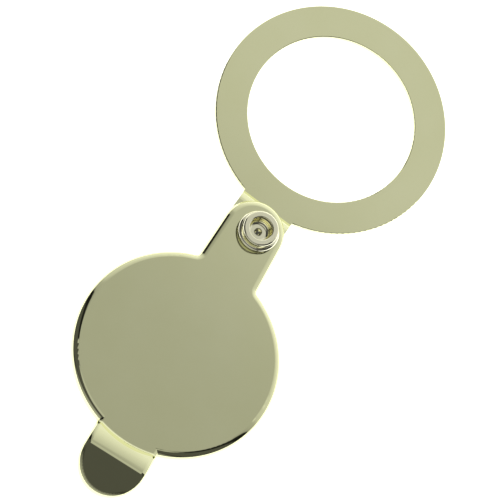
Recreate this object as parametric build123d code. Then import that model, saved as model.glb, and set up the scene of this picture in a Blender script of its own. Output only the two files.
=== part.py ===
"""Swing lens cover: a flat clamp ring and a dished round cover, joined by one hollow rivet.

Frame, in millimetres: +Z up, origin at the centre of the ring's hole on the ring's back face.
The cover lies open towards -Y, in line with the ring, and swings about the rivet's upright axis.
"""
from build123d import *
import math
import os

# Ring plate
RING_OUTER_R = 27.25
RING_HOLE_R = 19.75
RING_THICK = 1.2
RING_EDGE_R = 0.2         # die-rounded front edges
LUG_RISE = 1.4            # how far the pivot lug is set up, so that the rivet head clears the back face
LUG_HALF_WIDTH = 6.6
LUG_ROOT_OVERLAP = 0.8    # the lug's strip starts this far inside the ring's edge
LUG_FOOT_INSET = 0.35     # the step's foot is bent up just inside the ring's edge
LUG_BEND_R = 3.0          # outside radius of the bend at the top of the step

# Pivot, midway between the ring and the cover, so that the closed cover is concentric with the ring
PIVOT_Y = -34.7
SKEW = math.degrees(math.asin(1.3 / abs(PIVOT_Y)))   # both arms lean, so the rivet sits beside their middles

# Dished cover
COVER_R = 24.0
COVER_SHEET = 0.9
COVER_DEPTH = 2.0
COVER_BASE_Z = 2.95       # lower edge of the turned-down rim
COVER_TOP_Z = COVER_BASE_Z + COVER_DEPTH
COVER_EDGE_R = 1.5
NECK_END_R = 7.35
NECK_ROOT_HALF = 7.95     # half the neck's width where it meets the disc
NECK_CORNER_R = 1.0
NECK_SHIFT = 0.45         # the neck stands a little beside the rivet
NECK_ROOT_OVERLAP = 1.5

# Thumb tab beyond the cover's disc
TAB_HALF_WIDTH = 7.8
TAB_SHIFT = 0.3           # the tab stands a little beside the cover's middle
TAB_CENTRE = 29.3         # from the disc's centre to the centre of the tab's round end
STEP_ANGLE = 42.0         # slope of the steps up into the tab and the lug
STEP_FOOT_R = 0.6         # hollow bend where the disc turns up into the tab
TAB_CREST_START = 24.9    # where the crest's line starts, from the disc's centre
TAB_CREST_START_RISE = 1.0
TAB_CREST_CLIMB = 16.0    # slope of the crest as it leaves the step, up and outward
TAB_CREST_R = 11.5
TAB_CREST_SWEEP = 18.0    # angle the crest turns through before the thumb face's bend
TAB_FACE_BEND_R = 2.0
TAB_DROOP_ANGLE = 21.0    # slope of the thumb face, down and outward
TAB_EDGE_DEPTH = 1.7
TAB_EDGE_R = 1.2
TAB_ROOT = 21.5           # inner end of the tab's sheet, inside the dished disc
TAB_ROOT_MARGIN = 0.3
TAB_FACE_LENGTH = 13.0    # long enough to reach past the round end
TAB_REACH = 45.0          # beyond every part of the tab
TAB_SIDE_DEPTH = 6.0
SLOT_LENGTH = 3.0         # the disc's rim is open under the tab
ALL_HEIGHT = 20.0         # taller than every piece
TOUCHING = 0.01           # distances below this count as touching

# Rivet stack
SHANK_R = 3.1
BORE_R = 2.65
RIVET_HEAD_R = 4.4
RIVET_HEAD_EDGE_R = 0.4
RIVET_HEAD_Z = 0.35       # the head's face, inside the lug's rise
RIVET_TOP_Z = 8.6
BORE_FLOOR_Z = 5.6
BORE_FLOOR_R = 0.9
BORE_PIP_R = 0.9          # low pip left by the bore's drill
BORE_MOUTH_R = 0.25
LIP_R = 4.15
LIP_HEIGHT = 1.95
LIP_LOWER_R = 0.8
LIP_UPPER_R = 0.4
COLLAR_R = 4.8
COLLAR_EDGE_R = 0.65
SPRING_THICK = 0.25
SPRING_HEIGHT = 0.5
SPRING_BORE_GAP = 0.1
WASHER_R = 4.2
RUNNING_GAP = 0.08        # radial clearance of the cover on the rivet
FACE_GAP = 0.03           # axial clearance of the cover between spacer and collar


def lug_top():
    return LUG_RISE + RING_THICK


def pivot():
    return Location((0, PIVOT_Y, 0))


def lean(shape, centre_y, angle):
    """Turns a shape drawn straight along the Y axis by a small angle, about a centre on that axis."""
    return Pos(0, centre_y, 0) * Rot(0, 0, angle) * shape


def stadium(half_width, start, end):
    """A strip along -Y from start, with a round end centred at end, both measured from the origin."""
    strip = Pos(0, -(start + end) / 2) * Rectangle(2 * half_width, end - start)
    return strip + Pos(0, -end) * Circle(half_width)


def turned(corners):
    """Revolves a closed half-profile about the pivot axis, from (radius, height, corner rounding) corners."""
    face = make_face(Polyline(*[(radius, height) for radius, height, rounding in corners], close=True))
    for radius, height, rounding in corners:
        if rounding > 0:
            face = fillet(face.vertices().sort_by_distance((radius, height, 0))[0], rounding)
    return pivot() * revolve(Plane.XZ * face, Axis.Z)


def lug_profile(points):
    """Side view of the lug from (distance outward, height) points, with its upper bend rounded."""
    face = make_face(Polyline(*points, close=True))
    upper, lower = points[5], points[2]
    face = fillet(face.vertices().sort_by_distance((*upper, 0))[0], LUG_BEND_R)
    face = fillet(face.vertices().sort_by_distance((*lower, 0))[0], LUG_BEND_R - RING_THICK)
    return Plane(origin=(0, 0, 0), x_dir=(0, -1, 0), z_dir=(-1, 0, 0)) * face


def make_ring_plate():
    """Flat ring with a lug set up by one step, so that the cover passes over the ring's face."""
    rise = LUG_RISE
    ring = extrude(Circle(RING_OUTER_R) - Circle(RING_HOLE_R), RING_THICK)
    ring = fillet(ring.faces().sort_by(Axis.Z)[-1].edges(), RING_EDGE_R)
    start = math.sqrt(RING_OUTER_R ** 2 - LUG_HALF_WIDTH ** 2) - LUG_ROOT_OVERLAP
    run = rise / math.tan(math.radians(STEP_ANGLE))
    foot = RING_OUTER_R - LUG_FOOT_INSET
    crest = foot + run
    half = math.tan(math.radians(STEP_ANGLE / 2)) * RING_THICK
    end = abs(PIVOT_Y) + LUG_HALF_WIDTH + 1
    points = [
        (start, 0), (foot + half, 0), (crest + half, rise), (end, rise),
        (end, rise + RING_THICK), (crest, rise + RING_THICK), (foot, RING_THICK), (start, RING_THICK),
    ]
    lug_outline = extrude(stadium(LUG_HALF_WIDTH, start, abs(PIVOT_Y)), ALL_HEIGHT)
    lug = extrude(lug_profile(points), amount=LUG_HALF_WIDTH + 1, both=True) & lug_outline
    plate = ring + lean(lug, 0, -SKEW)
    plate -= pivot() * Cylinder(SHANK_R, 2 * ALL_HEIGHT)
    return plate.clean()


def cover_outline():
    """Disc and neck, about the disc's centre, with the neck along +Y."""
    reach = abs(PIVOT_Y)
    taper = math.asin((NECK_ROOT_HALF - NECK_END_R) / (reach - COVER_R))
    end_x, end_y = NECK_END_R * math.cos(taper), reach + NECK_END_R * math.sin(taper)
    root_y = math.sqrt(COVER_R ** 2 - NECK_ROOT_HALF ** 2) - NECK_ROOT_OVERLAP
    neck = make_face(Polyline(
        (-end_x, end_y), (end_x, end_y), (NECK_ROOT_HALF, root_y), (-NECK_ROOT_HALF, root_y), close=True))
    outline = Circle(COVER_R) + Pos(NECK_SHIFT, 0) * (neck + Pos(0, reach) * Circle(NECK_END_R))
    corners = [v for v in outline.vertices() if v.Y < COVER_R and abs(v.X) > NECK_ROOT_HALF - 1]
    return fillet(corners, NECK_CORNER_R)


def tab_profile(drop):
    """Closed side view of the tab: its top line lowered by drop, closed well below the tip."""
    climb, droop = math.radians(TAB_CREST_CLIMB), math.radians(TAB_DROOP_ANGLE)
    begin = (TAB_CREST_START + drop * math.sin(climb),
             COVER_TOP_Z + TAB_CREST_START_RISE - drop * math.cos(climb))
    root = TAB_ROOT - 1
    inner = (root, begin[1] - (begin[0] - root) * math.tan(climb))
    approach = Line(inner, begin)
    crest = JernArc(begin, approach % 1, TAB_CREST_R - drop, -TAB_CREST_SWEEP)
    bend = JernArc(crest @ 1, crest % 1, TAB_FACE_BEND_R - drop,
                   -(TAB_DROOP_ANGLE + TAB_CREST_CLIMB - TAB_CREST_SWEEP))
    tip = ((bend @ 1).X + TAB_FACE_LENGTH, (bend @ 1).Y - TAB_FACE_LENGTH * math.tan(droop))
    low = tip[1] - TAB_SIDE_DEPTH
    face = Line(bend @ 1, tip)
    return make_face([approach, crest, bend, face, Polyline(tip, (tip[0], low), (root, low), inner)])


def step_cone(drop):
    """The space below the disc's top, lowered by drop, and below the round step that climbs from its edge."""
    angle = math.radians(STEP_ANGLE)
    foot_r = STEP_FOOT_R + drop
    tangent = foot_r * math.tan(angle / 2)
    corner = COVER_R + drop * math.tan(angle / 2)
    floor = COVER_TOP_Z - drop
    foot = JernArc((corner - tangent, floor), (1, 0), foot_r, STEP_ANGLE)
    top = (TAB_REACH, floor + (TAB_REACH - corner) * math.tan(angle))
    root = TAB_ROOT - 1
    rest = Polyline(foot @ 1, top, (TAB_REACH, -ALL_HEIGHT), (root, -ALL_HEIGHT), (root, floor), foot @ 0)
    return revolve(Plane.XZ * make_face([foot, rest]), Axis.Z)


def under_tab_top(drop):
    """Everything below the tab's top surface, lowered by drop, and below the round step up from the disc."""
    side = Plane(origin=(0, 0, 0), x_dir=(0, -1, 0), z_dir=(-1, 0, 0)) * tab_profile(drop)
    return extrude(side, amount=ALL_HEIGHT, both=True) & step_cone(drop)


def make_tab():
    """Thumb tab: a step up out of the disc, a crest, and a drooping round-ended face."""
    outline = extrude(stadium(TAB_HALF_WIDTH, TAB_ROOT, TAB_CENTRE), ALL_HEIGHT)
    outer = under_tab_top(0) & outline
    outer = fillet(outer.edges().filter_by(is_tab_rim), TAB_EDGE_R)
    hollow = extrude(stadium(TAB_HALF_WIDTH - COVER_SHEET, TAB_ROOT - 1, TAB_CENTRE), ALL_HEIGHT)
    below = Pos(0, 0, -TAB_EDGE_DEPTH) * under_tab_top(0)
    return outer - (under_tab_top(COVER_SHEET) & hollow) - below


def is_tab_rim(edge):
    """True for an edge along the tab's outline on its top surface."""
    middle = edge @ 0.5
    across = (edge @ 1) - (edge @ 0)
    upright = math.hypot(across.X, across.Y) < TOUCHING
    from_round = abs(math.hypot(middle.X, middle.Y + TAB_CENTRE) - TAB_HALF_WIDTH) < TOUCHING
    on_side = abs(abs(middle.X) - TAB_HALF_WIDTH) < TOUCHING
    beyond_root = -middle.Y > TAB_ROOT + TAB_ROOT_MARGIN
    return (from_round or on_side) and beyond_root and middle.Z > RING_THICK and not upright


def make_cover_plate():
    """Shallow dished disc with a neck to the pivot and a thumb tab, drawn from one sheet."""
    outline = cover_outline()
    shell = extrude(outline, COVER_DEPTH)
    shell = fillet(shell.faces().sort_by(Axis.Z)[-1].edges(), COVER_EDGE_R)
    inner = extrude(offset(outline, -COVER_SHEET), COVER_DEPTH - COVER_SHEET)
    inner = fillet(inner.faces().sort_by(Axis.Z)[-1].edges(), COVER_EDGE_R - COVER_SHEET)
    dish = Pos(0, 0, COVER_BASE_Z) * (shell - inner)
    slot_top = COVER_TOP_Z - COVER_SHEET
    slot = Pos(0, -COVER_R, slot_top - ALL_HEIGHT / 2) * Box(
        2 * (TAB_HALF_WIDTH - COVER_SHEET), SLOT_LENGTH, ALL_HEIGHT)
    cover = dish + Pos(TAB_SHIFT, 0, 0) * (make_tab() - slot) - Pos(TAB_SHIFT, 0, 0) * slot
    cover = lean(cover, 2 * PIVOT_Y, SKEW)
    return cover - pivot() * Cylinder(SHANK_R + RUNNING_GAP, 2 * ALL_HEIGHT)


def make_pivot_rivet():
    """Semi-tubular rivet: flat head behind the lug, hollow shank, and a flat-topped lip."""
    under = RIVET_TOP_Z - LIP_HEIGHT
    return turned([
        (0, RIVET_HEAD_Z, 0), (RIVET_HEAD_R, RIVET_HEAD_Z, RIVET_HEAD_EDGE_R), (RIVET_HEAD_R, LUG_RISE, 0),
        (SHANK_R, LUG_RISE, 0), (SHANK_R, under, 0), (LIP_R, under, LIP_LOWER_R),
        (LIP_R, RIVET_TOP_Z, LIP_UPPER_R), (BORE_R, RIVET_TOP_Z, BORE_MOUTH_R),
        (BORE_R, BORE_FLOOR_Z, BORE_FLOOR_R), (BORE_PIP_R, BORE_FLOOR_Z, BORE_PIP_R / 2),
        (0, BORE_FLOOR_Z + BORE_PIP_R / 2, 0),
    ])


def make_rivet_collar():
    """Turned washer with a full round edge, between the cover and the rivet's lip."""
    base = COVER_TOP_Z + FACE_GAP
    top = RIVET_TOP_Z - LIP_HEIGHT
    return turned([
        (SHANK_R, base, 0), (COLLAR_R, base, COLLAR_EDGE_R), (COLLAR_R, top, COLLAR_EDGE_R), (SHANK_R, top, 0),
    ])


def make_spring_washer():
    """Coned spring washer on the lug, which keeps the cover stiff enough to stay where it is put."""
    low = lug_top()
    high = low + SPRING_HEIGHT
    inner = SHANK_R + SPRING_BORE_GAP
    return turned([
        (inner, high - SPRING_THICK, 0), (WASHER_R, low, 0),
        (WASHER_R, low + SPRING_THICK, 0), (inner, high, 0),
    ])


def make_spacer_bush():
    """Flat bush that fills the dished neck between the spring washer and the sheet."""
    low = lug_top() + SPRING_HEIGHT
    high = COVER_TOP_Z - COVER_SHEET - FACE_GAP
    return turned([(SHANK_R, low, 0), (WASHER_R, low, 0), (WASHER_R, high, 0), (SHANK_R, high, 0)])


PARTS = {
    "ring_plate": make_ring_plate,
    "cover_plate": make_cover_plate,
    "pivot_rivet": make_pivot_rivet,
    "rivet_collar": make_rivet_collar,
    "spring_washer": make_spring_washer,
    "spacer_bush": make_spacer_bush,
}

os.makedirs("parts", exist_ok=True)
for node, make in PARTS.items():
    shape = make()
    export_step(shape, f"parts/{node}.step")
    print(node, "solids", len(shape.solids()), "volume", round(shape.volume, 1))
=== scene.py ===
"""Swing lens cover: looks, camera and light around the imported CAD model."""
import math

import bpy
from mathutils import Matrix, Vector

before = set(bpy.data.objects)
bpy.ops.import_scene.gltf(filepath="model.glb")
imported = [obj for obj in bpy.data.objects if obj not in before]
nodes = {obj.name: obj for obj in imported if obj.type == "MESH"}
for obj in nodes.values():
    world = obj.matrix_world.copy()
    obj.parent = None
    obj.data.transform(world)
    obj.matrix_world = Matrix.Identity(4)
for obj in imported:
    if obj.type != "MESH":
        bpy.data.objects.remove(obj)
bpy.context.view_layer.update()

# ---------------------------------------------------------------- camera
TILT = math.radians(21.3)         # the plates' tilt away from the camera
TILT_DIRECTION = math.radians(46.9)   # in the picture, anticlockwise from its right
AXIS_DIRECTION = math.radians(55.84)  # the object's +Y in the picture before it is tilted
CAMERA_DISTANCE = 1.144
SENSOR_WIDTH = 36.0               # in millimetres, as Blender keeps it
CLIP_START, CLIP_END = 0.01, 20
FRAME_WIDTH = 0.1145              # width seen by the camera at the ring, in metres
RING_OFFSET_RIGHT = 0.01834       # the ring's centre, from the middle of the picture
RING_OFFSET_UP = 0.02961


def picture_basis():
    """Picture right, picture up and the direction to the camera, as vectors of the part's own frame."""
    turn = AXIS_DIRECTION - math.pi / 2
    flat = Matrix.Rotation(turn, 3, "Z")
    upright = Vector((0, 0, 1))
    lean = Vector((math.cos(TILT_DIRECTION), math.sin(TILT_DIRECTION), 0))
    across = Vector((-lean.y, lean.x, 0))
    leaned = lean * math.cos(TILT) + upright * math.sin(TILT)
    near = upright * math.cos(TILT) - lean * math.sin(TILT)
    right = lean.x * leaned + across.x * across
    up = lean.y * leaned + across.y * across
    back = flat.transposed()
    return back @ right, back @ up, back @ near


def make_camera():
    """Puts the camera at the tilted view and returns picture right and picture up."""
    right, up, near = picture_basis()
    target = -right * RING_OFFSET_RIGHT - up * RING_OFFSET_UP
    data = bpy.data.cameras.new("camera")
    data.sensor_width = SENSOR_WIDTH
    data.lens = SENSOR_WIDTH * CAMERA_DISTANCE / FRAME_WIDTH
    data.clip_start, data.clip_end = CLIP_START, CLIP_END
    camera = bpy.data.objects.new("camera", data)
    bpy.context.scene.collection.objects.link(camera)
    matrix = Matrix((right, up, near)).transposed().to_4x4()
    matrix.translation = target + near * CAMERA_DISTANCE
    camera.matrix_world = matrix
    bpy.context.scene.camera = camera
    return right, up


RIGHT, UP = make_camera()


# ---------------------------------------------------------------- materials
CLOUD_SCALE, CLOUD_DETAIL = 60.0, 5.0
CLOUD_RANGE = (0.3, 0.7)          # the noise values between the two tones
SMEAR_SCALE, SMEAR_DETAIL = 220.0, 6.0
SMEAR_SPREAD = 0.5                # of the roughness, up and down
WAVE_SCALE, WAVE_DETAIL = 35.0, 1.0
WAVE_STRENGTH = 0.05
WAVE_DEPTH = 0.0002               # in metres
SHARP_ANGLE = math.radians(28)    # edges sharper than this keep their crease
CORNER_WEIGHT = 100               # the largest faces decide the shading at a shared corner


def new_material(name):
    material = bpy.data.materials.new(name)
    material.use_nodes = True
    return material, material.node_tree.nodes, material.node_tree.links


def noise(made, links, place, scale, detail):
    """A noise texture in the piece's own coordinates."""
    texture = made.new("ShaderNodeTexNoise")
    texture.inputs["Scale"].default_value = scale
    texture.inputs["Detail"].default_value = detail
    links.new(place.outputs["Object"], texture.inputs["Vector"])
    return texture.outputs["Fac"]


def plated_metal(name, low, high, roughness):
    """Polished plating: faint cloudy tone, soft smears in the gloss and very shallow waviness."""
    material, made, links = new_material(name)
    shader = made["Principled BSDF"]
    shader.inputs["Metallic"].default_value = 1.0
    place = made.new("ShaderNodeTexCoord")
    ramp = made.new("ShaderNodeValToRGB")
    first, last = ramp.color_ramp.elements
    first.position, last.position = CLOUD_RANGE
    first.color, last.color = (*low, 1), (*high, 1)
    links.new(noise(made, links, place, CLOUD_SCALE, CLOUD_DETAIL), ramp.inputs["Fac"])
    links.new(ramp.outputs["Color"], shader.inputs["Base Color"])
    gloss = made.new("ShaderNodeMapRange")
    gloss.inputs["To Min"].default_value = roughness * (1 - SMEAR_SPREAD)
    gloss.inputs["To Max"].default_value = roughness * (1 + SMEAR_SPREAD)
    links.new(noise(made, links, place, SMEAR_SCALE, SMEAR_DETAIL), gloss.inputs["Value"])
    links.new(gloss.outputs["Result"], shader.inputs["Roughness"])
    bump = made.new("ShaderNodeBump")
    bump.inputs["Strength"].default_value = WAVE_STRENGTH
    bump.inputs["Distance"].default_value = WAVE_DEPTH
    links.new(noise(made, links, place, WAVE_SCALE, WAVE_DETAIL), bump.inputs["Height"])
    links.new(bump.outputs["Normal"], shader.inputs["Normal"])
    return material


PALE_BRASS = plated_metal("pale_brass", (0.79, 0.80, 0.49), (0.82, 0.83, 0.53), roughness=0.045)
RIVET_BRASS = plated_metal("rivet_brass", (0.95, 0.93, 0.66), (0.99, 0.97, 0.76), roughness=0.05)
BUSH_BRASS = plated_metal("bush_brass", (0.80, 0.66, 0.36), (0.88, 0.75, 0.45), roughness=0.15)
SPRING = plated_metal("spring_steel", (0.50, 0.50, 0.50), (0.58, 0.58, 0.58), roughness=0.3)

MATERIALS = {
    "ring_plate": PALE_BRASS,
    "cover_plate": PALE_BRASS,
    "pivot_rivet": RIVET_BRASS,
    "rivet_collar": RIVET_BRASS,
    "spring_washer": SPRING,
    "spacer_bush": BUSH_BRASS,
}


def finish_node(node):
    """Gives a CAD node its material and smooth shading, and leaves its shape alone."""
    thing = nodes[node]
    thing.data.materials.clear()
    thing.data.materials.append(MATERIALS[node])
    thing.data.set_sharp_from_angle(angle=SHARP_ANGLE)
    thing.data.polygons.foreach_set("use_smooth", [True] * len(thing.data.polygons))
    weighted = thing.modifiers.new("weighted_normals", "WEIGHTED_NORMAL")
    weighted.keep_sharp = True
    weighted.weight = CORNER_WEIGHT


for node in MATERIALS:
    finish_node(node)


# ---------------------------------------------------------------- floor and light
FLOOR_Z = -0.012                  # a little under the part, in metres
FLOOR_HALF = 3.0
FLOOR_TONE = 0.9
FLOOR_GLOW = 0.9

# The tent, as (lean toward the picture's upper right, from -1 to 1, and brightness). The plates' flat faces
# show the photograph's camera the tent at about 0.36.
TENT_STOPS = (
    (-1.0, 0.50), (-0.80, 0.36), (-0.64, 0.20), (-0.55, 0.04), (-0.46, 0.09), (0.06, 0.09), (0.12, 0.012),
    (0.24, 0.012), (0.27, 0.40), (0.345, 0.47), (0.385, 0.64), (0.55, 0.78), (0.75, 1.0), (1.0, 1.1),
)
TENT_WARMTH = (1.0, 1.0, 0.97)
ZENITH_EDGE = (0.965, 0.985)      # upward part of a direction, over the top panel's soft edge
ZENITH_BRIGHTNESS = 0.55

SOFT_LIGHT_PLACE = (0.2, 0.1, 1.2)
SOFT_LIGHT_SIZE = 1.2
SOFT_LIGHT_WATTS = 8.0


def make_floor():
    """A plain white table that glows a little, so that it stays white under and around the part."""
    signs = ((-1, -1), (1, -1), (1, 1), (-1, 1))
    corners = [(FLOOR_HALF * x, FLOOR_HALF * y, FLOOR_Z) for x, y in signs]
    mesh = bpy.data.meshes.new("floor")
    mesh.from_pydata(corners, [], [(0, 1, 2, 3)])
    floor = bpy.data.objects.new("floor", mesh)
    bpy.context.scene.collection.objects.link(floor)
    material, made, _ = new_material("floor")
    shader = made["Principled BSDF"]
    shader.inputs["Base Color"].default_value = (FLOOR_TONE, FLOOR_TONE, FLOOR_TONE, 1)
    shader.inputs["Roughness"].default_value = 1.0
    shader.inputs["Emission Color"].default_value = (1, 1, 1, 1)
    shader.inputs["Emission Strength"].default_value = FLOOR_GLOW
    mesh.materials.append(material)


def tent_colour(brightness):
    return (*[brightness * part for part in TENT_WARMTH], 1)


def tent_gradient(made, links, direction):
    """The tent's brightness by lean toward the picture's upper right, as a colour output."""
    towards = made.new("ShaderNodeVectorMath")
    towards.operation = "DOT_PRODUCT"
    lean = math.cos(TILT_DIRECTION) * RIGHT + math.sin(TILT_DIRECTION) * UP
    towards.inputs[1].default_value = Vector((lean.x, lean.y, 0)).normalized()
    shift = made.new("ShaderNodeMapRange")
    shift.inputs["From Min"].default_value = -1
    shift.inputs["From Max"].default_value = 1
    ramp = made.new("ShaderNodeValToRGB")
    links.new(direction, towards.inputs[0])
    links.new(towards.outputs["Value"], shift.inputs["Value"])
    links.new(shift.outputs["Result"], ramp.inputs["Fac"])
    stops = ramp.color_ramp.elements
    stops[0].position, stops[1].position = 0.0, 1.0
    for position, brightness in TENT_STOPS[1:-1]:
        stops.new((position + 1) / 2)
    for stop, (position, brightness) in zip(stops, TENT_STOPS):
        stop.color = tent_colour(brightness)
    return ramp.outputs["Color"]


def top_panel(made, links, direction):
    """How far a direction is inside the bright panel straight above, from 0 to 1."""
    split = made.new("ShaderNodeSeparateXYZ")
    panel = made.new("ShaderNodeMapRange")
    panel.interpolation_type = "SMOOTHSTEP"
    panel.inputs["From Min"].default_value, panel.inputs["From Max"].default_value = ZENITH_EDGE
    links.new(direction, split.inputs["Vector"])
    links.new(split.outputs["Z"], panel.inputs["Value"])
    return panel.outputs["Result"]


def make_world():
    """A light tent seen in the metal: dark to the picture's lower left, brighter to its upper right."""
    world = bpy.data.worlds.new("tent")
    world.use_nodes = True
    bpy.context.scene.world = world
    made, links = world.node_tree.nodes, world.node_tree.links
    direction = made.new("ShaderNodeTexCoord").outputs["Generated"]
    blend = made.new("ShaderNodeMixRGB")
    blend.inputs["Color2"].default_value = tent_colour(ZENITH_BRIGHTNESS)
    links.new(top_panel(made, links, direction), blend.inputs["Fac"])
    links.new(tent_gradient(made, links, direction), blend.inputs["Color1"])
    links.new(blend.outputs["Color"], made["Background"].inputs["Color"])


def make_soft_light():
    """A wide soft light from above, kept out of the metal's reflections."""
    data = bpy.data.lights.new("soft", "AREA")
    data.shape = "DISK"
    data.size = SOFT_LIGHT_SIZE
    data.energy = SOFT_LIGHT_WATTS
    light = bpy.data.objects.new("soft", data)
    bpy.context.scene.collection.objects.link(light)
    light.location = SOFT_LIGHT_PLACE
    light.visible_glossy = False


make_floor()
make_world()
make_soft_light()
bpy.context.scene.view_settings.view_transform = "Standard"
